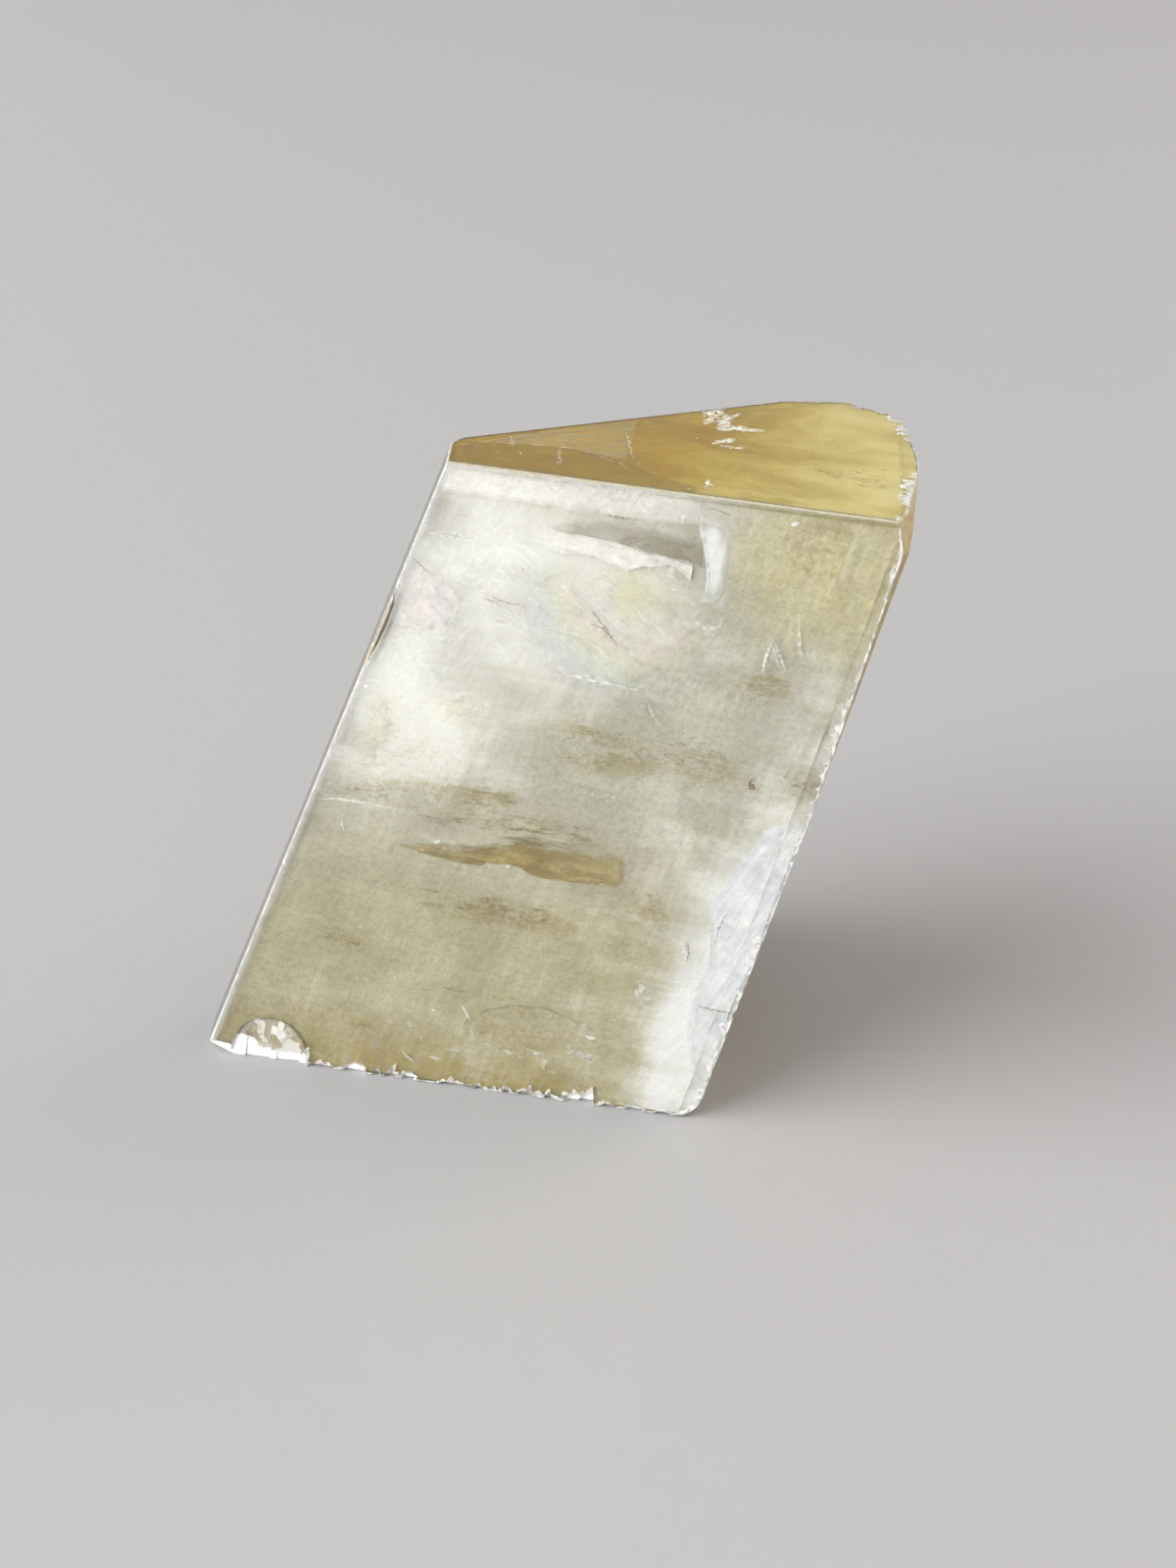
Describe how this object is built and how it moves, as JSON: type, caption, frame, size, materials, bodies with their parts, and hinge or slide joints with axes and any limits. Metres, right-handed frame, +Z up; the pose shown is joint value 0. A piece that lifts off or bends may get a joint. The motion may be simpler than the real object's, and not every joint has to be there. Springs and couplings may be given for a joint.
{
  "type": "honey calcite freeform",
  "caption": "Clear pale honey calcite cleavage piece with a leaning flat front, a wedge-shaped top and a flat base that it stands on.",
  "frame": {"origin": "bottom centre of the bounding box, on the surface that the stone stands on", "axes": "+Z up, the front face looks towards -Y and leans back, +X to the right across the front"},
  "size_m": [0.067, 0.0488, 0.0585],
  "materials": {
    "honey_crystal": "polished, with fine scratches and white fractures"
  },
  "bodies": {
    "root": {"honey_calcite": "honey_crystal"}
  },
  "joints": []
}
